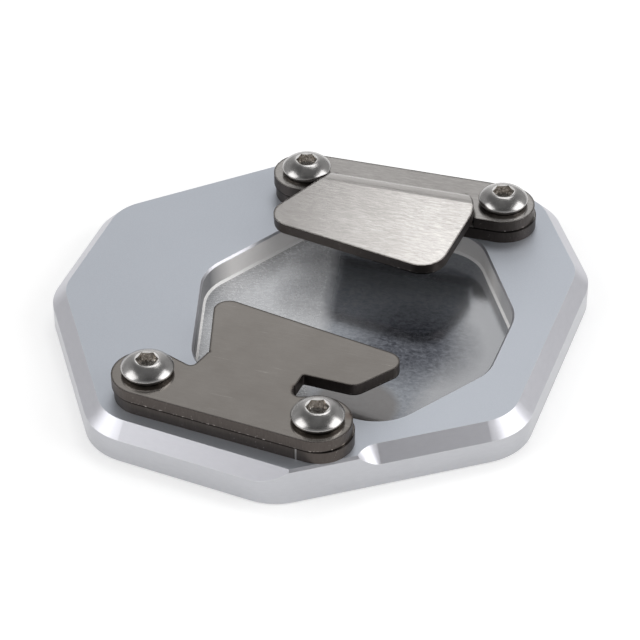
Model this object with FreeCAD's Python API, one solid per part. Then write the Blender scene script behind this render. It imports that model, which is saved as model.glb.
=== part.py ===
import FreeCAD, Part
import math
import os

# Kickstand foot enlarger: a milled plate whose pocket takes the foot of a motorcycle's side stand,
# and two sheet clamps on spacers that hold the foot down, each with two button head screws.
# Sizes are in millimetres and angles in degrees. +Z is up, and the origin is the middle of the
# plate's underside. The rider's side is -Y, where the shorter clamp lies.

# Plate
PLATE_THICKNESS = 8.3
PLATE_CORNER_RADIUS = 12.5
BEVEL = 2.85
LAND_EDGE_BREAK = 0.5
UNDERSIDE_EDGE_BREAK = 0.35

# The plate's sides, anticlockwise from the right one: the direction that each faces, from +X, and
# its distance from the origin. The last two are the front side and the front right side
PLATE_SIDE_ANGLES = (0.0, 32.3, 93.9, 134.1, 180.0, 213.9, 264.8, 305.8)
PLATE_SIDE_DISTANCES = (51.8, 58.7, 50.3, 49.6, 51.8, 50.1, 51.5, 49.2)

# The bevel stops at a land by the front right corner, where its cutter lifts out in a round sweep.
# The land's length is measured along the front right side, from the corner
BEVEL_CUTTER_RADIUS = 5.5
LAND_LENGTH = 21.7

# Pocket for the stand's foot
POCKET_DEPTH = 5.2
POCKET_CORNER_RADIUS = 10.5
POCKET_FLOOR_BEVEL = 0.45
POCKET_EDGE_BREAK = 0.4
POCKET_SIDE_ANGLES = (0.0, 31.8, 92.0, 151.1, 196.5, 225.0, 266.0, 327.6)
POCKET_SIDE_DISTANCES = (40.8, 39.3, 31.5, 22.0, 22.1, 28.1, 30.3, 40.0)

# Screws: M6 button heads with a 4 mm hexagon socket
SCREW_DIAMETER = 6.0
SCREW_LENGTH = 12.0
SCREW_END_CHAMFER = 0.6
HEAD_DIAMETER = 10.4
HEAD_HEIGHT = 3.05
HEAD_RIM_HEIGHT = 1.1
HEAD_UNDERCUT = 0.75
HEAD_TOP_DIAMETER = 4.8
SOCKET_ACROSS_FLATS = 4.0
SOCKET_DEPTH = 2.1
SOCKET_TURN_ANGLE = 20.0
THREAD_CLEARANCE = 0.05

# Clamps and spacers, cut from sheet. Each lies shifted to one side in the play of its screw holes,
# by these shares of it along X and Y
CLAMP_THICKNESS = 2.5
SPACER_THICKNESS = 2.7
LOBE_RADIUS = 6.8
SCREW_HOLE_CLEARANCE = 0.6
CLAMP_SHARES_OF_PLAY = (-0.15, -0.6)
SPACER_SHARES_OF_PLAY = (0.5, -0.5)

# Front pair of screws: middle point, distance apart and turn from the X axis. Their clamp and
# spacer lie a little askew to the line of the screws
FRONT_MIDDLE = (-1.87, -38.84)
FRONT_PITCH = 35.9
FRONT_TURN_ANGLE = -4.6
FRONT_SLEW_ANGLE = 0.5

# Front clamp's tongue, measured from the middle of the clamp's screw holes
TONGUE_REAR_LEFT = (-16.15, 27.5)
TONGUE_REAR_RIGHT = (28.15, 23.6)
TONGUE_FRONT_RIGHT = (20.95, 11.8)
TONGUE_CORNER_RADIUS = 3.0
NOTCH_CORNER = (10.2, 11.2)
NOTCH_ROOT_RADIUS = 1.6
NECK_LEFT = (-9.55, 10.6)
NECK_ANGLE = 170.0
NECK_ROOT_RADIUS = 1.2
LASER_CORNER_RADIUS = 0.4
LEFT_SHOULDER_ANGLE = 74.6
RIGHT_SHOULDER_ANGLE = 115.5

# Nicks where the laser cut ends: one at the neck, one on the notch's wall and one on a lobe
NICK_RADIUS = 0.25
NICK_BELOW_NOTCH_CORNER = 4.0
NICK_ANGLE_ON_LOBE = 37.0

# Rear pair of screws
REAR_MIDDLE = (8.17, 37.46)
REAR_PITCH = 43.0
REAR_TURN_ANGLE = 2.8

# Rear clamp's raised tongue: its side profile, from the bend line to the front edge
RAISED_BEND_LINE = 1.2
RAISED_RAMP_ANGLE = 45.0
RAISED_ROOT_RADIUS = 1.5
RAISED_RAMP_LENGTH = 1.1
RAISED_CREST_RADIUS = 6.0
RAISED_DROOP_ANGLE = 9.0
RAISED_KERF = 0.3

# Rear clamp's raised tongue: its plan, measured from the middle of the clamp's screw holes
RAISED_BEND_LEFT = -14.65
RAISED_BEND_RIGHT = 13.25
RAISED_WAIST_LEFT = (-15.65, -4.2)
RAISED_FRONT_LEFT = (-25.95, -19.8)
RAISED_FRONT_RIGHT = (13.95, -26.7)
RAISED_SHOULDER_RIGHT = (17.75, -4.7)
RAISED_WAIST_RIGHT = -0.9
RAISED_WAIST_RADIUS = 4.0
RAISED_LEFT_CORNER_RADIUS = 3.9
RAISED_RIGHT_CORNER_RADIUS = 5.5
RAISED_SHOULDER_RADIUS = 9.0

# Helper lengths: how far a cutting tool passes the faces it cuts, and the least length of an edge
PASS = 1.0
LEAST_EDGE = 0.001

UP = FreeCAD.Vector(0, 0, 1)
ORIGIN = FreeCAD.Vector(0, 0, 0)


def direction(angle):
    return FreeCAD.Vector(math.cos(math.radians(angle)), math.sin(math.radians(angle)), 0)


def along_side(angle):
    """Direction in which a side that faces the angle runs on anticlockwise."""
    return UP.cross(direction(angle))


def point(pair):
    x, y = pair
    return FreeCAD.Vector(x, y, 0)


def crossing(side_a, side_b):
    """Point where two sides cross, each given as the angle it faces and its distance."""
    angle_a, distance_a = side_a
    angle_b, distance_b = side_b
    a = direction(angle_a)
    b = direction(angle_b)
    spread = a.x * b.y - a.y * b.x
    x = (distance_a * b.y - distance_b * a.y) / spread
    y = (a.x * distance_b - b.x * distance_a) / spread
    return FreeCAD.Vector(x, y, 0)


def tangent_side(centre, radius, angle):
    return (angle, centre.dot(direction(angle)) + radius)


def side_through(place, angle):
    return (angle, place.dot(direction(angle)))


def polygon_corners(sides, radius):
    """Rounded corners of a convex outline whose sides are listed anticlockwise."""
    return [(crossing(sides[i - 1], sides[i]), radius) for i in range(len(sides))]


def lobe_corners(centre, radius, start, end):
    """Two rounded corners that together make the arc from one direction to the other."""
    quarter = (end - start) / 4
    reach = radius / math.cos(math.radians(quarter))
    return [(centre + direction(start + k * quarter) * reach, radius) for k in (1, 3)]


def rounded_outline(corners):
    """Closed wire through corners given as point and radius, each rounded by a tangent arc."""
    count = len(corners)
    arcs = []
    for i, (corner, radius) in enumerate(corners):
        to_last = (corners[i - 1][0] - corner).normalize()
        to_next = (corners[(i + 1) % count][0] - corner).normalize()
        half = to_last.getAngle(to_next) / 2
        reach = radius / math.tan(half)
        inward = (to_last + to_next).normalize()
        middle = corner + inward * (radius / math.sin(half) - radius)
        arcs.append((corner + to_last * reach, middle, corner + to_next * reach))
    edges = []
    for i, (start, middle, end) in enumerate(arcs):
        if (end - start).Length > LEAST_EDGE:
            edges.append(Part.Arc(start, middle, end).toShape())
        following = arcs[(i + 1) % count][0]
        if (following - end).Length > LEAST_EDGE:
            edges.append(Part.LineSegment(end, following).toShape())
    return Part.Wire(edges)


def prism(wire, bottom, top):
    """Solid between two heights with the given outline."""
    face = Part.Face(wire)
    face.translate(UP * bottom)
    return face.extrude(UP * (top - bottom))


def edges_along(shape, wire, height):
    """Edges of a shape that lie on an outline at a height."""
    outline = wire.copy()
    outline.translate(UP * height)
    found = []
    for edge in shape.Edges:
        middle = edge.valueAt((edge.FirstParameter + edge.LastParameter) / 2)
        spots = [middle] + [vertex.Point for vertex in edge.Vertexes]
        if all(outline.distToShape(Part.Vertex(spot))[0] < LEAST_EDGE for spot in spots):
            found.append(edge)
    return found


def screw_places(middle, pitch, turn):
    """The left and right screw of a pair, in plan."""
    along = direction(turn) * (pitch / 2)
    return [point(middle) - along, point(middle) + along]


def seat(sheet, middle, angle, play_shares):
    """Moves a sheet drawn about the middle of its screw holes to its place over the screws."""
    sheet.rotate(ORIGIN, UP, angle)
    sheet.translate(point(middle) + point(play_shares) * SCREW_HOLE_CLEARANCE)
    return sheet


def land_zone(front, front_right):
    """Space round the front right corner in which the bevel's full width isn't cut."""
    front_angle, _ = front
    right_angle, _ = front_right
    outward = direction(right_angle)
    clear_of_plate = 2 * PLATE_CORNER_RADIUS
    corner = crossing(front, front_right)
    start = corner - along_side(front_angle) * PLATE_CORNER_RADIUS
    end = corner + along_side(right_angle) * LAND_LENGTH
    corners = [start, start + direction(front_angle) * clear_of_plate]
    corners += [end + outward * clear_of_plate, end - outward * PLATE_CORNER_RADIUS]
    wire = Part.makePolygon(corners + corners[:1])
    return prism(wire, 0, PLATE_THICKNESS + PASS)


def straight_bevel(front, front_right):
    """The front side's bevel, which runs straight on past the rounded front right corner."""
    angle, _ = front
    outward = direction(angle)
    run_each_way = 2 * PLATE_CORNER_RADIUS
    start = crossing(front, front_right) - along_side(angle) * run_each_way
    inner = start - outward * (BEVEL + PASS) + UP * (PLATE_THICKNESS + PASS)
    upper = start + outward * PASS + UP * (PLATE_THICKNESS + PASS)
    lower = start + outward * PASS + UP * (PLATE_THICKNESS - BEVEL - PASS)
    face = Part.Face(Part.makePolygon([inner, upper, lower, inner]))
    return face.extrude(along_side(angle) * (2 * run_each_way))


def bevel_sweep(front, front_right):
    """Round end of the front right bevel, left by the cone of the cutter."""
    angle, _ = front_right
    land_end = crossing(front, front_right) + along_side(angle) * LAND_LENGTH
    foot = land_end + direction(angle) * (BEVEL_CUTTER_RADIUS - BEVEL)
    foot += UP * (PLATE_THICKNESS - BEVEL)
    tip_radius = BEVEL_CUTTER_RADIUS - BEVEL
    return Part.makeCone(tip_radius, BEVEL_CUTTER_RADIUS + PASS, BEVEL + PASS, foot, UP)


def make_base_plate():
    sides = list(zip(PLATE_SIDE_ANGLES, PLATE_SIDE_DISTANCES))
    front, front_right = sides[-2:]
    outline = rounded_outline(polygon_corners(sides, PLATE_CORNER_RADIUS))
    blank = prism(outline, 0, PLATE_THICKNESS)
    beveled = blank.makeChamfer(BEVEL, edges_along(blank, outline, PLATE_THICKNESS))
    bevel_ring = blank.cut(beveled).cut(land_zone(front, front_right))
    plate = blank.makeChamfer(LAND_EDGE_BREAK, edges_along(blank, outline, PLATE_THICKNESS))
    plate = plate.cut([bevel_ring, straight_bevel(front, front_right)])
    plate = plate.cut(bevel_sweep(front, front_right))
    plate = plate.makeChamfer(UNDERSIDE_EDGE_BREAK, edges_along(plate, outline, 0))

    pocket_sides = list(zip(POCKET_SIDE_ANGLES, POCKET_SIDE_DISTANCES))
    rim = rounded_outline(polygon_corners(pocket_sides, POCKET_CORNER_RADIUS))
    floor = PLATE_THICKNESS - POCKET_DEPTH
    tool = prism(rim, floor, PLATE_THICKNESS + PASS)
    tool = tool.makeChamfer(POCKET_FLOOR_BEVEL, edges_along(tool, rim, floor))
    plate = plate.cut(tool)
    plate = plate.makeChamfer(POCKET_EDGE_BREAK, edges_along(plate, rim, PLATE_THICKNESS))

    hole_radius = SCREW_DIAMETER / 2 + THREAD_CLEARANCE
    places = screw_places(FRONT_MIDDLE, FRONT_PITCH, FRONT_TURN_ANGLE)
    places += screw_places(REAR_MIDDLE, REAR_PITCH, REAR_TURN_ANGLE)
    for place in places:
        plate = plate.cut(Part.makeCylinder(hole_radius, PLATE_THICKNESS, place, UP))
    return plate


def strip_outline(pitch):
    """Outline of a strip with a round lobe at each screw."""
    left = FreeCAD.Vector(-pitch / 2, 0, 0)
    right = FreeCAD.Vector(pitch / 2, 0, 0)
    corners = lobe_corners(right, LOBE_RADIUS, -90, 90) + lobe_corners(left, LOBE_RADIUS, 90, 270)
    return rounded_outline(corners)


def drill_screw_holes(sheet, pitch, bottom, top):
    radius = SCREW_DIAMETER / 2 + SCREW_HOLE_CLEARANCE
    for side in (-1, 1):
        place = FreeCAD.Vector(side * pitch / 2, 0, bottom)
        sheet = sheet.cut(Part.makeCylinder(radius, top - bottom, place, UP))
    return sheet


def make_spacer(middle, pitch, angle):
    bottom = PLATE_THICKNESS
    top = bottom + SPACER_THICKNESS
    spacer = prism(strip_outline(pitch), bottom, top)
    spacer = drill_screw_holes(spacer, pitch, bottom, top)
    return seat(spacer, middle, angle, SPACER_SHARES_OF_PLAY)


def make_front_clamp():
    bottom = PLATE_THICKNESS + SPACER_THICKNESS
    top = bottom + CLAMP_THICKNESS
    left = FreeCAD.Vector(-FRONT_PITCH / 2, 0, 0)
    right = FreeCAD.Vector(FRONT_PITCH / 2, 0, 0)
    right_shoulder = tangent_side(right, LOBE_RADIUS, RIGHT_SHOULDER_ANGLE)
    left_shoulder = tangent_side(left, LOBE_RADIUS, LEFT_SHOULDER_ANGLE)
    notch_wall = side_through(point(NOTCH_CORNER), 0)
    neck_wall = side_through(point(NECK_LEFT), NECK_ANGLE)

    corners = lobe_corners(right, LOBE_RADIUS, -90, RIGHT_SHOULDER_ANGLE)
    corners.append((crossing(right_shoulder, notch_wall), NOTCH_ROOT_RADIUS))
    corners.append((point(NOTCH_CORNER), LASER_CORNER_RADIUS))
    corners.append((point(TONGUE_FRONT_RIGHT), TONGUE_CORNER_RADIUS))
    corners.append((point(TONGUE_REAR_RIGHT), TONGUE_CORNER_RADIUS))
    corners.append((point(TONGUE_REAR_LEFT), TONGUE_CORNER_RADIUS))
    corners.append((point(NECK_LEFT), LASER_CORNER_RADIUS))
    corners.append((crossing(neck_wall, left_shoulder), NECK_ROOT_RADIUS))
    corners += lobe_corners(left, LOBE_RADIUS, LEFT_SHOULDER_ANGLE, 270)

    clamp = prism(rounded_outline(corners), bottom, top)
    nicks = [point(NECK_LEFT), right + direction(NICK_ANGLE_ON_LOBE) * LOBE_RADIUS]
    nicks.append(point(NOTCH_CORNER) - FreeCAD.Vector(0, NICK_BELOW_NOTCH_CORNER, 0))
    for nick in nicks:
        clamp = clamp.cut(Part.makeCylinder(NICK_RADIUS, CLAMP_THICKNESS, nick + UP * bottom, UP))
    clamp = drill_screw_holes(clamp, FRONT_PITCH, bottom, top)
    return seat(clamp, FRONT_MIDDLE, FRONT_TURN_ANGLE + FRONT_SLEW_ANGLE, CLAMP_SHARES_OF_PLAY)


def raised_crest(top):
    """Centre of the crest's bend, in height and in distance from the line of the screw holes."""
    ramp = math.radians(RAISED_RAMP_ANGLE)
    offset = RAISED_ROOT_RADIUS + RAISED_CREST_RADIUS
    y = RAISED_BEND_LINE - offset * math.sin(ramp) - RAISED_RAMP_LENGTH * math.cos(ramp)
    z = top + RAISED_ROOT_RADIUS - offset * math.cos(ramp) + RAISED_RAMP_LENGTH * math.sin(ramp)
    return FreeCAD.Vector(0, y, z)


def raised_surface(top, depth, reach):
    """Side profile's line at a depth below the sheet's top face, from rear to front."""
    ramp = math.radians(RAISED_RAMP_ANGLE)
    droop = math.radians(RAISED_DROOP_ANGLE)
    root = FreeCAD.Vector(0, RAISED_BEND_LINE, top + RAISED_ROOT_RADIUS)
    crest = raised_crest(top)
    root_radius = -(RAISED_ROOT_RADIUS + depth)
    crest_radius = RAISED_CREST_RADIUS - depth

    def spoke(radius, turn):
        return FreeCAD.Vector(0, radius * math.sin(turn), radius * math.cos(turn))

    root_start = root + spoke(root_radius, 0)
    root_end = root + spoke(root_radius, ramp)
    crest_start = crest + spoke(crest_radius, ramp)
    crest_end = crest + spoke(crest_radius, -droop)
    rear = root_start + FreeCAD.Vector(0, PASS, 0)
    front = crest_end + FreeCAD.Vector(0, -math.cos(droop), -math.sin(droop)) * reach
    return [
        Part.LineSegment(rear, root_start).toShape(),
        Part.Arc(root_start, root + spoke(root_radius, ramp / 2), root_end).toShape(),
        Part.LineSegment(root_end, crest_start).toShape(),
        Part.Arc(crest_start, crest + spoke(crest_radius, (ramp - droop) / 2), crest_end).toShape(),
        Part.LineSegment(crest_end, front).toShape(),
    ]


def raised_sheet(left, right, top):
    """Bent sheet of the raised tongue before its plan is cut, from left to right."""
    reach = -2 * min(RAISED_FRONT_LEFT[1], RAISED_FRONT_RIGHT[1])
    upper = raised_surface(top, 0, reach)
    lower = raised_surface(top, CLAMP_THICKNESS, reach)
    rear = Part.LineSegment(upper[0].Vertexes[0].Point, lower[0].Vertexes[0].Point).toShape()
    front = Part.LineSegment(upper[-1].Vertexes[-1].Point, lower[-1].Vertexes[-1].Point).toShape()
    wire = Part.Wire(Part.__sortEdges__(upper + [front] + lower + [rear]))
    sheet = Part.Face(wire).extrude(FreeCAD.Vector(right - left, 0, 0))
    sheet.translate(FreeCAD.Vector(left, 0, 0))
    return sheet


def raised_plan():
    """Plan of the raised tongue, with its rear end under the bend line."""
    rear = RAISED_BEND_LINE + PASS
    corners = [(FreeCAD.Vector(RAISED_BEND_RIGHT, rear, 0), 0.0)]
    corners.append((FreeCAD.Vector(RAISED_BEND_LEFT, rear, 0), 0.0))
    corners.append((point(RAISED_WAIST_LEFT), RAISED_WAIST_RADIUS))
    corners.append((point(RAISED_FRONT_LEFT), RAISED_LEFT_CORNER_RADIUS))
    corners.append((point(RAISED_FRONT_RIGHT), RAISED_RIGHT_CORNER_RADIUS))
    corners.append((point(RAISED_SHOULDER_RIGHT), RAISED_SHOULDER_RADIUS))
    corners.append((FreeCAD.Vector(RAISED_BEND_RIGHT, RAISED_WAIST_RIGHT, 0), LASER_CORNER_RADIUS))
    return rounded_outline(corners)


def make_rear_clamp():
    bottom = PLATE_THICKNESS + SPACER_THICKNESS
    top = bottom + CLAMP_THICKNESS
    strip = prism(strip_outline(REAR_PITCH), bottom, top)
    plan = raised_plan()
    box = plan.BoundBox

    window = prism(plan.makeOffset2D(RAISED_KERF), bottom, top)
    behind = Part.makeBox(box.XLength + 2 * PASS, box.YLength, CLAMP_THICKNESS,
                          FreeCAD.Vector(box.XMin - PASS, RAISED_BEND_LINE, bottom))
    strip = strip.cut(window.cut(behind))

    # The tongue's edges are cut square to its drooping face, about the front end of its crest
    height = RAISED_CREST_RADIUS + RAISED_RAMP_LENGTH + CLAMP_THICKNESS
    cutter = prism(plan, -height, height)
    cutter.translate(UP * (raised_crest(top).z + RAISED_CREST_RADIUS))
    crest_end = raised_surface(top, 0, PASS)[-1].Vertexes[0].Point
    cutter.rotate(crest_end, FreeCAD.Vector(1, 0, 0), RAISED_DROOP_ANGLE)
    tongue = raised_sheet(box.XMin - PASS, box.XMax + PASS, top).common(cutter)
    clamp = strip.fuse(tongue).removeSplitter()
    clamp = drill_screw_holes(clamp, REAR_PITCH, bottom, top)
    return seat(clamp, REAR_MIDDLE, REAR_TURN_ANGLE, CLAMP_SHARES_OF_PLAY)


def make_screw(place):
    """Button head screw whose head rests on the clamp."""
    seat_height = PLATE_THICKNESS + SPACER_THICKNESS + CLAMP_THICKNESS
    head_radius = HEAD_DIAMETER / 2
    shank_radius = SCREW_DIAMETER / 2
    top_radius = HEAD_TOP_DIAMETER / 2

    def place_at(radius, height):
        return FreeCAD.Vector(radius, 0, height)

    # The dome is part of a sphere, from the rim up to the flat top
    dome_height = HEAD_HEIGHT - HEAD_RIM_HEIGHT
    sink = (head_radius ** 2 - top_radius ** 2 - dome_height ** 2) / (2 * dome_height)
    dome_radius = math.hypot(head_radius, sink)
    half_way = (math.atan2(sink, head_radius) + math.atan2(sink + dome_height, top_radius)) / 2
    middle_height = HEAD_RIM_HEIGHT - sink + dome_radius * math.sin(half_way)
    dome_middle = place_at(dome_radius * math.cos(half_way), middle_height)
    dome_top = place_at(top_radius, HEAD_HEIGHT)
    rim_top = place_at(head_radius, HEAD_RIM_HEIGHT)

    outline = [place_at(0, HEAD_HEIGHT), place_at(0, -SCREW_LENGTH)]
    outline.append(place_at(shank_radius - SCREW_END_CHAMFER, -SCREW_LENGTH))
    outline.append(place_at(shank_radius, -SCREW_LENGTH + SCREW_END_CHAMFER))
    outline.append(place_at(shank_radius, 0))
    outline.append(place_at(head_radius - HEAD_UNDERCUT, 0))
    outline.append(rim_top)
    edges = Part.makePolygon(outline).Edges
    edges.append(Part.Arc(rim_top, dome_middle, dome_top).toShape())
    edges.append(Part.LineSegment(dome_top, outline[0]).toShape())
    body = Part.Face(Part.Wire(edges)).revolve(ORIGIN, UP, 360)

    corner_radius = SOCKET_ACROSS_FLATS / math.sqrt(3)
    hexagon = [direction(SOCKET_TURN_ANGLE + 60 * k) * corner_radius for k in range(7)]
    socket = prism(Part.makePolygon(hexagon), HEAD_HEIGHT - SOCKET_DEPTH, HEAD_HEIGHT + PASS)
    body = body.cut(socket)
    body.translate(place + UP * seat_height)
    return body


def main():
    os.makedirs("parts", exist_ok=True)
    parts = {
        "base_plate": make_base_plate(),
        "front_spacer": make_spacer(FRONT_MIDDLE, FRONT_PITCH, FRONT_TURN_ANGLE + FRONT_SLEW_ANGLE),
        "front_clamp": make_front_clamp(),
        "rear_spacer": make_spacer(REAR_MIDDLE, REAR_PITCH, REAR_TURN_ANGLE),
        "rear_clamp": make_rear_clamp(),
    }
    front_left, front_right = screw_places(FRONT_MIDDLE, FRONT_PITCH, FRONT_TURN_ANGLE)
    rear_left, rear_right = screw_places(REAR_MIDDLE, REAR_PITCH, REAR_TURN_ANGLE)
    parts["screw_front_left"] = make_screw(front_left)
    parts["screw_front_right"] = make_screw(front_right)
    parts["screw_rear_left"] = make_screw(rear_left)
    parts["screw_rear_right"] = make_screw(rear_right)
    for name, shape in parts.items():
        shape.exportStep("parts/" + name + ".step")


main()
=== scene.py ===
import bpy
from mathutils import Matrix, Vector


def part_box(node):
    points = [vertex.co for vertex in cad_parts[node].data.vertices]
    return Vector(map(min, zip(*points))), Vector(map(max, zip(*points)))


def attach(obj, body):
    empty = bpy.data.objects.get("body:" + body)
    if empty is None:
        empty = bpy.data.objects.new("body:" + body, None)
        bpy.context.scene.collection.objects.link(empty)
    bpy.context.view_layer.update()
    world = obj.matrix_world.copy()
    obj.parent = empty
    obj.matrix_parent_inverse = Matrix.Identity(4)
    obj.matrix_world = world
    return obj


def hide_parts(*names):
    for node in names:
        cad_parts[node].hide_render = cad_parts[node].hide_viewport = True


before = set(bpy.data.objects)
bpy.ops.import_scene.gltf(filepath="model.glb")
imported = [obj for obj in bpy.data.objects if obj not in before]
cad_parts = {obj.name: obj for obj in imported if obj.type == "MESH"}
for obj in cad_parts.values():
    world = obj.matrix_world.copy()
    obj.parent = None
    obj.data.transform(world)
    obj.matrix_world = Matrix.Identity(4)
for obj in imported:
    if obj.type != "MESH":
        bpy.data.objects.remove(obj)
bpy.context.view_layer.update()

import math

import bpy
from mathutils import Matrix, Vector

# Looks of the kickstand foot enlarger: a milled aluminium plate, two sheet steel clamps on spacers
# and four button head screws. Sizes and places on the object are in millimetres, and MM turns them
# into metres. A place with two values is in plan. The studio is in metres and degrees.

MM = 0.001

# Camera: the photograph's viewing angle
CAMERA_AZIMUTH = 19.607
CAMERA_ELEVATION = 37.958
CAMERA_ROLL = -0.546
CAMERA_TARGET = Vector((6.474, -11.621, 13.5)) * MM
CAMERA_DISTANCE = 506.42 * MM
CAMERA_LENS = 144.07
SENSOR_WIDTH = 36.0

# Plate: heights of its top and of the pocket's floor, and the middles of its tapped holes. Each reach
# is a distance from the middle that takes in the walls of the pocket or hole, and no other
PLATE_TOP = 8.3
POCKET_FLOOR = 3.1
POCKET_REACH = 45.0
HOLES = ((-19.76, -37.40), (16.02, -40.28), (-13.30, 36.41), (29.64, 38.51))
HOLE_REACH = 3.35

# Where the pocket's floor is painted dark as a painted reflection of the raised tongue's underside, and
# where it carries a warm painted shadow of the front clamp's tongue
TONGUE_REFLECTION_PLACE = (22.0, -1.0)
CLAMP_SHADOW_PLACE = (17.5, -23.0)

# Clamps: height of the seam between spacer and clamp, the places where the laser's cut began and
# where its heat browned the sheet, and the left end of the raised tongue, whose underside is painted
# lighter there as painted light
SPACER_TOP = 11.0
FRONT_MARKS = ((14.0, -46.9),)
FRONT_TINTS = ((9.4, -32.9), (21.5, -37.5))
REAR_MARKS = ((-15.4, 29.3),)
REAR_LIT_UNDERSIDE = ((-14.0, 25.0),)

# Screws, measured up from the seat of the head
SCREW_LENGTH = 12.0
SHANK_RADIUS = 3.0
PLAIN_RADIUS = 2.9
THREAD_START = -8.0
THREAD_PITCH = 1.0
THREAD_DEPTH = 0.6
THREAD_FLAT = 0.12
HEAD_RADIUS = 5.2
HEAD_HEIGHT = 3.05
RIM_HEIGHT = 1.1
TOP_RADIUS = 2.52
DOME_ROUND_SHARE = 0.4
MOUTH_RADIUS = 2.36
MOUTH_SLOPE = 0.6
SOCKET_HALF_WIDTH = 2.0
SOCKET_FLOOR = 0.95
SOCKET_POINT = 0.45
SOCKET_TURN = 20.0

# Fineness of the screw's mesh: rows for each turn of the thread, steps up the dome, points round the
# screw, and the angle in degrees from which an edge stays sharp
THREAD_STEPS = 8
DOME_STEPS = 14
ROUND_STEPS = 72
SHARP_ANGLE = 28.0

# Radius and height along the underside of the head, and at its edge below the rim
HEAD_UNDERSIDE = ((4.45, 0.0), (4.65, 0.1), (5.1, 0.75))
HEAD_EDGE = (5.18, 0.98)

# Places of the screw's materials in its mesh, in the order of screw_materials
DOME, SOCKET, THREAD, UNDERSIDE, MOUTH = range(5)

# Studio: brightness where 1 is white. The room is what metal shows, from low behind the object to
# high above it, and in front of it, where the camera is
FLOOR_SIZE = 6.0
FLOOR_GREY = 0.74
FLOOR_GLOW = 0.36
FILL_LIGHT = 0.70
ROOM_LOW = 1.15
ROOM_MIDDLE = 0.68
ROOM_HIGH = 0.24
ROOM_SIDE_SHARE = 0.45
ROOM_FRONT_LOW = 0.50
ROOM_FRONT_HIGH = 0.10
ROOM_FRONT_TURN = 8.0
SOFTBOX_DISTANCE = 0.9


def sky_direction(azimuth, elevation):
    """Unit vector from the origin. Azimuth 0 is the -Y side, and 90 the +X side."""
    a = math.radians(azimuth)
    e = math.radians(elevation)
    return Vector((math.sin(a) * math.cos(e), -math.cos(a) * math.cos(e), math.sin(e)))


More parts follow.
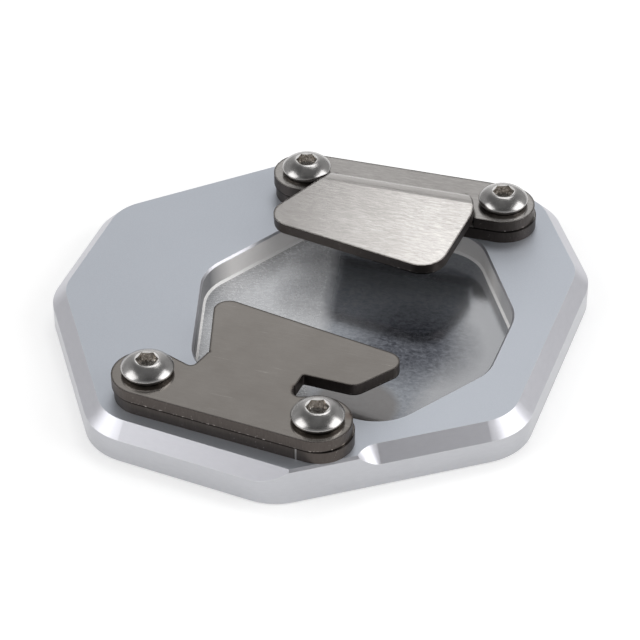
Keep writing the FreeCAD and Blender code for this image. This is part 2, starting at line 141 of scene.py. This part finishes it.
class Tree:
    """A node tree with short calls for the nodes that the materials use.

    A share is a number or an output between 0 and 1, and a colour has three values."""

    def __init__(self, data):
        data.use_nodes = True
        self.tree = data.node_tree
        self.tree.nodes.clear()

    def node(self, kind, settings=None, inputs=None):
        made = self.tree.nodes.new(kind)
        for name, value in (settings or {}).items():
            setattr(made, name, value)
        for name, value in (inputs or {}).items():
            self.feed(made.inputs[name], value)
        return made

    def feed(self, socket, value):
        """Links a socket to an output, or gives it a constant."""
        if isinstance(value, bpy.types.NodeSocket):
            self.tree.links.new(value, socket)
        elif socket.type == "RGBA":
            socket.default_value = (*value, 1)
        else:
            socket.default_value = value

    def math(self, operation, a, b=0.0):
        made = self.node("ShaderNodeMath", {"operation": operation})
        self.feed(made.inputs[0], a)
        self.feed(made.inputs[1], b)
        return made.outputs[0]

    def plus(self, a, b):
        return self.math("ADD", a, b)

    def times(self, a, b):
        return self.math("MULTIPLY", a, b)

    def larger(self, a, b):
        return self.math("MAXIMUM", a, b)

    def rest(self, share):
        """What a share leaves of 1."""
        return self.math("SUBTRACT", 1.0, share)

    def apart(self, a, b):
        """Difference between two values, always positive."""
        return self.math("ABSOLUTE", self.math("SUBTRACT", a, b))

    def ramp(self, value, low, high):
        """0 up to low, 1 from high, and a straight slope between."""
        made = self.node("ShaderNodeMapRange", {"clamp": True})
        self.feed(made.inputs["Value"], value)
        made.inputs["From Min"].default_value = low
        made.inputs["From Max"].default_value = high
        return made.outputs["Result"]

    def fall(self, value, low, high):
        """1 up to low, 0 from high, and a straight slope between."""
        return self.rest(self.ramp(value, low, high))

    def scaled(self, value, low, high):
        """A share spread over the values from low to high."""
        made = self.node("ShaderNodeMapRange", {"clamp": False})
        self.feed(made.inputs["Value"], value)
        made.inputs["To Min"].default_value = low
        made.inputs["To Max"].default_value = high
        return made.outputs["Result"]

    def mix(self, share, a, b):
        """Colour between a and b."""
        made = self.node("ShaderNodeMix", {"data_type": "RGBA"})
        self.feed(made.inputs[0], share)
        self.feed(made.inputs[6], a)
        self.feed(made.inputs[7], b)
        return made.outputs[2]

    def blend(self, share, a, b):
        """Number between a and b."""
        made = self.node("ShaderNodeMix", {"data_type": "FLOAT"})
        self.feed(made.inputs[0], share)
        self.feed(made.inputs[2], a)
        self.feed(made.inputs[3], b)
        return made.outputs[0]

    def millimetres(self, turn=0.0, stretch=(1, 1, 1)):
        """Place on the object in millimetres, turned about Z and squeezed along each axis."""
        place = self.node("ShaderNodeTexCoord").outputs["Object"]
        made = self.node("ShaderNodeMapping", {"vector_type": "POINT"}, {"Vector": place})
        made.inputs["Rotation"].default_value = (0, 0, math.radians(turn))
        made.inputs["Scale"].default_value = [share / MM for share in stretch]
        return made.outputs["Vector"]

    def noise(self, place, size, detail=2.0, roughness=0.5, distortion=0.0):
        """Noise between 0 and 1 whose features are about size millimetres across."""
        inputs = {
            "Vector": place, "Scale": 1 / size, "Detail": detail,
            "Roughness": roughness, "Distortion": distortion,
        }
        return self.node("ShaderNodeTexNoise", {}, inputs).outputs["Fac"]

    def axes(self, vector):
        return self.node("ShaderNodeSeparateXYZ", {}, {"Vector": vector}).outputs

    def facing_up(self):
        """How far the surface faces up, from -1 to 1."""
        return self.axes(self.node("ShaderNodeNewGeometry").outputs["True Normal"])["Z"]

    def near(self, place, inner, outer, wobble=0.0):
        """1 within the inner distance of a place in plan, and 0 beyond the outer one."""
        flat = self.millimetres(0, (1, 1, 0))
        away = self.node("ShaderNodeVectorMath", {"operation": "DISTANCE"})
        self.feed(away.inputs[0], flat)
        away.inputs[1].default_value = (*place, 0)
        return self.fall(self.plus(away.outputs["Value"], wobble), inner, outer)

    def along(self, vector, axis):
        """How far a vector reaches along a fixed axis or another vector."""
        made = self.node("ShaderNodeVectorMath", {"operation": "DOT_PRODUCT"})
        self.feed(made.inputs[0], vector)
        self.feed(made.inputs[1], axis)
        return made.outputs["Value"]

    def edge(self, radius, low, high):
        """1 along the piece's outer and inner edges, fading out over the radius in millimetres."""
        rounded = self.node("ShaderNodeBevel", {"samples": 6}, {"Radius": radius * MM})
        own = self.node("ShaderNodeNewGeometry").outputs["Normal"]
        return self.ramp(self.rest(self.along(rounded.outputs["Normal"], own)), low, high)

    def bump(self, height, depth, normal=None):
        """Normal of a surface whose height varies by up to depth millimetres."""
        inputs = {"Height": height, "Distance": depth * MM}
        if normal is not None:
            inputs["Normal"] = normal
        return self.node("ShaderNodeBump", {}, inputs).outputs["Normal"]

    def metal(self, colour, roughness, normal, metallic):
        """Ends the tree in its one shader."""
        inputs = {"Base Color": colour, "Roughness": roughness, "Normal": normal, "Metallic": metallic}
        shader = self.node("ShaderNodeBsdfPrincipled", {}, inputs)
        self.node("ShaderNodeOutputMaterial", {}, {"Surface": shader.outputs["BSDF"]})


def plate_aluminium():
    """Blasted top, smoother milled bevels and walls, and a pocket floor smoother towards the right,
    with painted reflection and painted shadow on it.
    """
    material = bpy.data.materials.new("plate_aluminium")
    tree = Tree(material)
    place = tree.millimetres()
    axes = tree.axes(place)
    aside, back, height = axes["X"], axes["Y"], axes["Z"]
    up = tree.facing_up()

    # Parts of the surface: the top, the pocket's floor, all walls, the pocket's walls and the bevel
    # round its floor
    level = tree.ramp(up, 0.9, 0.95)
    on_top = tree.times(level, tree.ramp(height, PLATE_TOP - 0.2, PLATE_TOP - 0.1))
    on_floor = tree.math("SUBTRACT", level, on_top)
    upright = tree.fall(up, 0.3, 0.5)
    inner = tree.times(upright, tree.near((0, 0), POCKET_REACH - 1, POCKET_REACH + 1))
    sloping = tree.math("SUBTRACT", tree.rest(level), upright)
    cove = tree.times(sloping, tree.fall(height, POCKET_FLOOR + 0.8, POCKET_FLOOR + 1.1))

    cloud = tree.noise(place, 26.0, 3.0)
    grit = tree.noise(place, 0.22, 3.0, 0.7)
    mottle = tree.noise(tree.millimetres(-20, (0.7, 1, 1)), 0.8, 5.0, 0.75, 0.6)
    patch = tree.noise(place, 6.0, 3.0, 0.6, 0.8)
    brush = tree.noise(tree.millimetres(-20, (0.10, 1, 1)), 0.30, 3.0, 0.7)
    cutter = tree.noise(tree.millimetres(0, (0.3, 0.3, 1)), 0.5, 2.0, 0.5)

    top_colour = tree.mix(tree.ramp(cloud, 0.3, 0.7), (0.55, 0.58, 0.635), (0.58, 0.61, 0.665))
    top_colour = tree.mix(tree.ramp(grit, 0.35, 0.75), top_colour, (0.62, 0.65, 0.70))
    milled_colour = tree.mix(cutter, (0.60, 0.60, 0.64), (0.65, 0.65, 0.69))

    # The walls are painted darker than the bevels, as painted shade. The pocket's walls are brighter at
    # the back than at the left, front and right, as painted light and painted shade
    wall_colour = tree.mix(cutter, (0.49, 0.495, 0.52), (0.55, 0.555, 0.58))
    inner_colour = tree.mix(cutter, (0.84, 0.82, 0.805), (0.90, 0.88, 0.865))
    inner_colour = tree.mix(tree.ramp(back, 3, 9), (0.20, 0.20, 0.21), inner_colour)
    inner_colour = tree.mix(tree.ramp(aside, 32.5, 36), inner_colour, (0.50, 0.50, 0.51))
    wall_colour = tree.mix(inner, wall_colour, inner_colour)

    # The pocket's floor is rougher at the left. Elsewhere it is smoother, and painted darker as a
    # painted reflection of the raised tongue's dark underside, darkest where the tongue's root mirrors
    # in it
    fine = tree.ramp(mottle, 0.38, 0.62)
    slant = tree.plus(aside, tree.times(back, 0.23))
    smooth_and_shaded = tree.ramp(tree.plus(slant, tree.times(patch, 2.0)), 3.0, 6.5)
    shaded_floor_colour = tree.mix(fine, (0.31, 0.33, 0.365), (0.42, 0.44, 0.475))
    shaded_floor_colour = tree.mix(tree.ramp(aside, 26.5, 31), shaded_floor_colour, (0.54, 0.55, 0.57))
    floor_colour = tree.mix(fine, (0.55, 0.56, 0.58), (0.64, 0.65, 0.665))
    floor_colour = tree.mix(smooth_and_shaded, floor_colour, shaded_floor_colour)
    # Painted reflection of the raised tongue's dark underside, darkest round its place
    painted_reflection = tree.near(TONGUE_REFLECTION_PLACE, 7.0, 17.0, tree.times(patch, 3.0))
    painted_reflection_colour = tree.mix(fine, (0.06, 0.065, 0.08), (0.20, 0.21, 0.24))
    floor_colour = tree.mix(painted_reflection, floor_colour, painted_reflection_colour)
    # Warm painted shadow of the front clamp's tongue on the pocket's floor
    painted_shadow = tree.near(CLAMP_SHADOW_PLACE, 8.0, 10.0, patch)
    floor_colour = tree.mix(tree.times(painted_shadow, 0.8), floor_colour, (0.27, 0.255, 0.245))

    colour = tree.mix(on_top, milled_colour, top_colour)
    colour = tree.mix(upright, colour, wall_colour)
    colour = tree.mix(on_floor, colour, floor_colour)
    # The bevel round the pocket's floor is painted pale, a painted highlight
    colour = tree.mix(cove, colour, (0.90, 0.89, 0.88))
    worn = tree.edge(0.25, 0.02, 0.12)
    colour = tree.mix(tree.times(worn, 0.6), colour, (0.80, 0.80, 0.81))

    rough = tree.blend(on_top, tree.scaled(cutter, 0.35, 0.41), tree.scaled(grit, 0.46, 0.58))
    rough = tree.blend(upright, rough, tree.scaled(cutter, 0.28, 0.34))
    rough = tree.blend(inner, rough, 0.45)
    floor_rough = tree.blend(smooth_and_shaded, tree.scaled(mottle, 0.22, 0.32), tree.scaled(mottle, 0.10, 0.20))
    rough = tree.blend(on_floor, rough, floor_rough)

    metallic = tree.blend(tree.larger(inner, cove), 0.88, 0.12)
    metallic = tree.blend(on_floor, metallic, tree.blend(smooth_and_shaded, 0.5, 0.88))

    relief = tree.blend(on_top, tree.times(cutter, 0.02), grit)
    relief = tree.blend(on_floor, relief, tree.plus(brush, mottle))
    normal = tree.bump(relief, 0.006)

    # Threads of the tapped holes
    thread = tree.math("SINE", tree.times(height, 2 * math.pi / THREAD_PITCH))
    thread = tree.scaled(thread, 0.5, 1.0)
    in_hole = 0.0
    for hole in HOLES:
        in_hole = tree.larger(in_hole, tree.near(hole, HOLE_REACH - 0.05, HOLE_REACH + 0.05))
    in_hole = tree.times(in_hole, upright)
    normal = tree.bump(tree.times(thread, in_hole), 0.4, normal)
    tree.metal(colour, rough, normal, metallic)
    return material


def clamp_steel(name, dark, light, back, smooth, lines, marks, tints, lit_spots):
    """Rolled sheet between two colours, with dark edges where the laser cut it.

    back is the colour of its underside, which on the rear clamp is painted light, smooth its least
    roughness and lines the strength of its brush lines and specks. The last three are places: marks
    where a cut began, tints where the heat browned the sheet, and lit spots where its underside is
    painted lighter still as painted light."""
    material = bpy.data.materials.new(name)
    tree = Tree(material)
    place = tree.millimetres()
    height = tree.axes(place)["Z"]
    up = tree.facing_up()
    cut = tree.fall(tree.math("ABSOLUTE", up), 0.45, 0.55)
    under = tree.fall(up, -0.6, -0.5)

    cloud = tree.noise(place, 9.0, 4.0, 0.6)
    brush = tree.noise(tree.millimetres(-4, (0.08, 1, 1)), 0.28, 5.0, 0.8)
    grain = tree.noise(tree.millimetres(-9, (0.25, 1, 1)), 0.40, 4.0, 0.8)
    scratch = tree.noise(tree.millimetres(-28, (0.03, 1, 1)), 0.30, 2.0, 0.5)
    scratches = tree.ramp(scratch, 0.68, 0.73)
    stripes = tree.noise(tree.millimetres(0, (1, 1, 0.12)), 0.30, 4.0, 0.8)
    specks = tree.ramp(tree.noise(place, 0.45, 2.0, 0.8), 0.68, 0.74)
    beads = tree.ramp(tree.noise(tree.millimetres(0, (0.5, 0.5, 1)), 0.35, 2.0, 0.6), 0.59, 0.68)

    sheet = tree.mix(tree.ramp(cloud, 0.3, 0.7), dark, light)
    brushed = tree.times(tree.ramp(brush, 0.45, 0.7), lines)
    sheet = tree.mix(brushed, sheet, (0.7, 0.68, 0.66))
    grainy = tree.times(tree.ramp(grain, 0.42, 0.66), 0.6 * lines)
    sheet = tree.mix(grainy, sheet, (0.25, 0.24, 0.23))
    sheet = tree.mix(tree.times(scratches, 0.25), sheet, (0.62, 0.60, 0.58))
    sheet = tree.mix(tree.times(specks, lines), sheet, (0.14, 0.13, 0.12))
    for tint in tints:
        browned = tree.near(tint, 0.2, 2.2, cloud)
        sheet = tree.mix(tree.times(browned, 0.7), sheet, (0.14, 0.085, 0.06))
    burnt = tree.edge(0.75, 0.01, 0.06)
    sheet = tree.mix(burnt, sheet, (0.030, 0.024, 0.022))

    # The cut edges carry a near black painted contact shadow at the seam of clamp and spacer, with
    # bright beads of dross above it
    seam_shadow = tree.fall(tree.apart(height, SPACER_TOP), 0.12, 0.24)
    lower = tree.fall(height, SPACER_TOP - 0.1, SPACER_TOP + 0.1)
    dross = tree.times(tree.fall(tree.apart(height, SPACER_TOP + 0.25), 0.06, 0.16), beads)
    edge_colour = tree.mix(stripes, (0.058, 0.048, 0.044), (0.13, 0.115, 0.105))
    edge_colour = tree.mix(tree.times(lower, 0.15), edge_colour, (0.03, 0.026, 0.024))
    edge_colour = tree.mix(tree.times(specks, 0.6), edge_colour, (0.45, 0.42, 0.40))
    edge_colour = tree.mix(seam_shadow, edge_colour, (0.012, 0.010, 0.009))
    edge_colour = tree.mix(dross, edge_colour, (0.50, 0.45, 0.42))
    for mark in marks:
        begun = tree.near(mark, 0.15, 0.4, tree.times(stripes, 0.2))
        edge_colour = tree.mix(tree.times(begun, lower), edge_colour, (0.62, 0.60, 0.58))
    # Painted light on the underside round each of these spots
    for spot in lit_spots:
        back = tree.mix(tree.near(spot, 9.3, 10.7), back, (0.90, 0.89, 0.88))
    colour = tree.mix(cut, sheet, edge_colour)
    colour = tree.mix(under, colour, back)

    rough = tree.scaled(grain, smooth, 2.0 * smooth)
    rough = tree.blend(cut, rough, tree.scaled(stripes, 0.30, 0.50))
    rough = tree.blend(under, rough, 0.5)
    relief = tree.plus(tree.times(brush, 0.5), tree.times(scratches, -0.5))
    relief = tree.plus(relief, tree.times(grain, 0.7))
    relief = tree.blend(cut, relief, stripes)
    tree.metal(colour, rough, tree.bump(relief, 0.005), tree.blend(under, 1.0, 0.5))
    return material


def screw_steel(name, size, dark, light, low, high, metallic=1.0):
    """Stainless steel with smudges of a size, between two colours and two values of roughness."""
    material = bpy.data.materials.new(name)
    tree = Tree(material)
    place = tree.millimetres()
    smudge = tree.noise(place, size, 4.0, 0.6)
    grain = tree.noise(place, 0.12, 2.0, 0.6)
    colour = tree.mix(tree.ramp(smudge, 0.3, 0.7), dark, light)
    tree.metal(colour, tree.scaled(smudge, low, high), tree.bump(grain, 0.0015), metallic)
    return material


def screw_materials():
    """Materials of the dome, socket, thread, underside and mouth, in this order.

    The socket is blotched, the underside of the head is painted dark as painted shade, and the mouth is
    painted pale as a painted highlight."""
    looks = (
        ("screw_dome", 1.6, (0.41, 0.40, 0.395), (0.50, 0.49, 0.48), 0.19, 0.30),
        ("screw_socket", 0.5, (0.24, 0.21, 0.185), (1.0, 0.98, 0.95), 0.12, 0.35),
        ("screw_thread", 1.6, (0.34, 0.33, 0.32), (0.50, 0.49, 0.48), 0.25, 0.40),
        # The underside of the head is painted dark, painted shade under the head
        ("screw_underside_painted_shade", 1.6, (0.10, 0.09, 0.08), (0.18, 0.165, 0.155), 0.35, 0.50),
        # The socket's mouth is painted pale, a painted highlight round its rim
        ("screw_mouth", 0.5, (0.80, 0.78, 0.76), (1.0, 0.99, 0.98), 0.25, 0.35, 0.4),
    )
    return [screw_steel(*look) for look in looks]


def socket_radius(angle):
    """Distance from the screw's middle to the wall of its hexagon socket."""
    return SOCKET_HALF_WIDTH / math.cos(math.radians(angle % 60 - 30))


def thread_radius(angle, height):
    """Radius of the screw's threaded end, whose tip is bevelled."""
    phase = (height / THREAD_PITCH - angle / 360) % 1
    share = (abs(2 * phase - 1) - THREAD_FLAT) / (1 - 2 * THREAD_FLAT)
    share = min(max(share, 0), 1)
    root = SHANK_RADIUS - THREAD_DEPTH
    return min(root + THREAD_DEPTH * share, root + height + SCREW_LENGTH)


def dome_outline():
    """Radius and height along the head's dome, from its rim to its flat top.

    The dome lies between a ball and a rounder curve that leaves the rim upright."""
    rise = HEAD_HEIGHT - RIM_HEIGHT
    sink = (HEAD_RADIUS ** 2 - TOP_RADIUS ** 2 - rise ** 2) / (2 * rise)
    ball = math.hypot(HEAD_RADIUS, sink)
    bulge = rise / math.sqrt(1 - (TOP_RADIUS / HEAD_RADIUS) ** 2)
    end = math.acos(TOP_RADIUS / HEAD_RADIUS)
    outline = []
    for k in range(DOME_STEPS + 1):
        radius = HEAD_RADIUS * math.cos(end * k / DOME_STEPS)
        round_height = bulge * math.sqrt(max(1 - (radius / HEAD_RADIUS) ** 2, 0))
        ball_height = math.sqrt(ball ** 2 - radius ** 2) - sink
        height = DOME_ROUND_SHARE * round_height + (1 - DOME_ROUND_SHARE) * ball_height
        outline.append((radius, RIM_HEIGHT + height))
    return outline


def thread_row(height):
    """Row of the screw's mesh along its thread, as its radius and height at an angle."""
    return lambda angle: (thread_radius(angle, height), height)


def round_row(radius, height):
    """Row of the screw's mesh that has one radius all round."""
    return lambda angle: (radius, height)


def mouth_row(angle):
    """Row of the screw's mesh where the countersink at the socket's mouth meets its hexagon."""
    radius = socket_radius(angle)
    return radius, HEAD_HEIGHT - MOUTH_SLOPE * (MOUTH_RADIUS - radius)


def socket_row(angle):
    """Row of the screw's mesh at the foot of the socket's walls."""
    return socket_radius(angle), SOCKET_FLOOR


def screw_rows():
    """All rows of the screw's mesh from tip to socket, each with the material that leads up to it."""
    rows = []
    for k in range(round((THREAD_START + SCREW_LENGTH) / THREAD_PITCH * THREAD_STEPS)):
        rows.append((thread_row(k * THREAD_PITCH / THREAD_STEPS - SCREW_LENGTH), THREAD))
    rows.append((round_row(PLAIN_RADIUS, THREAD_START), THREAD))
    rows.append((round_row(PLAIN_RADIUS, 0), THREAD))
    rows += [(round_row(*spot), UNDERSIDE) for spot in HEAD_UNDERSIDE]
    dome = [HEAD_EDGE, *dome_outline(), (MOUTH_RADIUS, HEAD_HEIGHT)]
    rows += [(round_row(*spot), DOME) for spot in dome]
    rows.append((mouth_row, MOUTH))
    rows.append((socket_row, SOCKET))
    return rows


def screw_mesh():
    """Button head screw with a countersunk hexagon socket, its seat at height 0."""
    rows = screw_rows()
    vertices = [(0, 0, -SCREW_LENGTH * MM)]
    for row, _ in rows:
        for k in range(ROUND_STEPS):
            angle = 360 * k / ROUND_STEPS
            radius, height = row(angle)
            turn = math.radians(angle + SOCKET_TURN)
            vertices.append((radius * math.cos(turn) * MM, radius * math.sin(turn) * MM, height * MM))
    vertices.append((0, 0, SOCKET_POINT * MM))

    faces = []
    kinds = []
    last = 1 + (len(rows) - 1) * ROUND_STEPS
    for k in range(ROUND_STEPS):
        following = (k + 1) % ROUND_STEPS
        faces.append((0, 1 + following, 1 + k))
        kinds.append(THREAD)
        for i in range(len(rows) - 1):
            lower = 1 + i * ROUND_STEPS
            upper = lower + ROUND_STEPS
            faces.append((lower + k, lower + following, upper + following, upper + k))
            kinds.append(rows[i + 1][1])
        faces.append((last + k, last + following, len(vertices) - 1))
        kinds.append(SOCKET)

    mesh = bpy.data.meshes.new("button_head_screw")
    mesh.from_pydata(vertices, [], faces)
    for material in screw_materials():
        mesh.materials.append(material)
    mesh.polygons.foreach_set("material_index", kinds)
    mesh.shade_smooth()
    mesh.set_sharp_from_angle(angle=math.radians(SHARP_ANGLE))
    return mesh


def make_screws():
    """Finely shaped screws in place of the plain ones, each turned by a step of its hexagon."""
    mesh = screw_mesh()
    names = ("screw_front_left", "screw_front_right", "screw_rear_left", "screw_rear_right")
    for k, name in enumerate(names):
        low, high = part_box(name)
        piece = bpy.data.objects.new(name.replace("screw", "button_head"), mesh)
        bpy.context.scene.collection.objects.link(piece)
        seat = low[2] + SCREW_LENGTH * MM
        piece.location = ((low[0] + high[0]) / 2, (low[1] + high[1]) / 2, seat)
        piece.rotation_euler = (0, 0, math.radians(60 * k))
        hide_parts(name)
        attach(piece, "root")


def dress():
    """Gives each CAD node its material, and puts the fine screws in place."""
    front = clamp_steel(
        "front_steel", dark=(0.295, 0.273, 0.252), light=(0.335, 0.312, 0.290),
        back=(0.30, 0.265, 0.24), smooth=0.10, lines=0.06, marks=FRONT_MARKS, tints=FRONT_TINTS,
        lit_spots=())
    # The rear clamp's underside is painted much lighter than its top, as painted light
    rear = clamp_steel(
        "rear_steel", dark=(0.42, 0.403, 0.388), light=(0.48, 0.463, 0.448),
        back=(0.80, 0.79, 0.79), smooth=0.15, lines=0.40, marks=REAR_MARKS, tints=(),
        lit_spots=REAR_LIT_UNDERSIDE)
    looks = {
        "base_plate": plate_aluminium(),
        "front_spacer": front, "front_clamp": front,
        "rear_spacer": rear, "rear_clamp": rear,
    }
    for name, material in looks.items():
        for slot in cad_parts[name].material_slots:
            slot.material = material
    make_screws()


def make_camera():
    """The photograph's camera, which looks at its target from where the constants put it."""
    camera = bpy.data.objects.new("camera", bpy.data.cameras.new("camera"))
    bpy.context.scene.collection.objects.link(camera)
    camera.data.lens = CAMERA_LENS
    camera.data.sensor_width = SENSOR_WIDTH
    camera.data.clip_start = 0.01
    camera.data.clip_end = 20
    back = sky_direction(CAMERA_AZIMUTH, CAMERA_ELEVATION)
    level = Vector((0, 0, 1)).cross(back).normalized()
    up = back.cross(level)
    turn = math.radians(CAMERA_ROLL)
    right = level * math.cos(turn) + up * math.sin(turn)
    up = up * math.cos(turn) - level * math.sin(turn)
    place = Matrix((right, up, back)).transposed().to_4x4()
    place.translation = CAMERA_TARGET + back * CAMERA_DISTANCE
    camera.matrix_world = place
    bpy.context.scene.camera = camera


def make_floor():
    """Pale floor that reads white to the camera and in metal, and keeps the object's shadow."""
    material = bpy.data.materials.new("studio_floor")
    tree = Tree(material)
    path = tree.node("ShaderNodeLightPath").outputs
    seen = tree.larger(path["Is Camera Ray"], path["Is Glossy Ray"])
    seen = tree.larger(seen, path["Is Transmission Ray"])
    diffuse = tree.node("ShaderNodeBsdfDiffuse", {}, {"Color": (FLOOR_GREY,) * 3})
    glow = tree.node("ShaderNodeEmission", {}, {"Strength": tree.times(seen, FLOOR_GLOW)})
    both = tree.node("ShaderNodeAddShader")
    tree.feed(both.inputs[0], diffuse.outputs[0])
    tree.feed(both.inputs[1], glow.outputs[0])
    tree.node("ShaderNodeOutputMaterial", {}, {"Surface": both.outputs[0]})

    half = FLOOR_SIZE / 2
    corners = [(-half, -half, 0), (half, -half, 0), (half, half, 0), (-half, half, 0)]
    mesh = bpy.data.meshes.new("floor")
    mesh.from_pydata(corners, [], [(0, 1, 2, 3)])
    mesh.materials.append(material)
    floor = bpy.data.objects.new("floor", mesh)
    bpy.context.scene.collection.objects.link(floor)


def room_brightness(tree):
    """The room as metal shows it: bright low behind the object, dim above and behind the camera."""
    ray = tree.node("ShaderNodeTexCoord").outputs["Generated"]
    up = tree.axes(ray)["Z"]
    middle = tree.blend(tree.ramp(up, 0.50, 0.68), ROOM_LOW, ROOM_MIDDLE)
    middle = tree.blend(tree.ramp(up, 0.68, 0.95), middle, ROOM_HIGH)
    aside = tree.math("ABSOLUTE", tree.along(ray, sky_direction(CAMERA_AZIMUTH + 90, 0)))
    room = tree.blend(tree.ramp(aside, 0.12, 0.45), middle, tree.times(middle, ROOM_SIDE_SHARE))
    front = tree.blend(tree.ramp(up, 0.45, 0.66), ROOM_FRONT_LOW, ROOM_FRONT_HIGH)
    ahead = tree.along(ray, sky_direction(CAMERA_AZIMUTH + ROOM_FRONT_TURN, 0))
    return tree.blend(tree.ramp(ahead, 0.15, 0.60), room, front)


def make_world():
    """Even fill light, a white background, and the room for what metal mirrors."""
    world = bpy.data.worlds.new("studio")
    bpy.context.scene.world = world
    tree = Tree(world)
    path = tree.node("ShaderNodeLightPath").outputs
    strength = tree.blend(path["Is Glossy Ray"], FILL_LIGHT, room_brightness(tree))
    strength = tree.larger(strength, path["Is Camera Ray"])
    strength = tree.larger(strength, path["Is Transmission Ray"])
    sky = tree.node("ShaderNodeBackground", {}, {"Strength": strength})
    tree.node("ShaderNodeOutputWorld", {}, {"Surface": sky.outputs[0]})


def softbox(name, azimuth, elevation, width, height, brightness):
    """Area lamp in the sky that faces the object, as bright as a face of the given brightness."""
    lamp = bpy.data.lights.new(name, "AREA")
    lamp.shape = "RECTANGLE"
    lamp.size = width
    lamp.size_y = height
    lamp.energy = brightness * math.pi * width * height
    piece = bpy.data.objects.new(name, lamp)
    bpy.context.scene.collection.objects.link(piece)
    away = sky_direction(azimuth, elevation)
    piece.location = away * SOFTBOX_DISTANCE
    piece.rotation_mode = "QUATERNION"
    piece.rotation_quaternion = away.to_track_quat("Z", "Y")


make_camera()
make_floor()
make_world()
softbox("softbox_rear", azimuth=181, elevation=61.5, width=0.42, height=0.30, brightness=2.5)
softbox("softbox_left", azimuth=-57, elevation=31, width=0.60, height=0.64, brightness=2.05)
softbox("softbox_right", azimuth=99, elevation=27, width=0.70, height=0.70, brightness=2.45)
dress()
bpy.context.scene.view_settings.view_transform = "Standard"
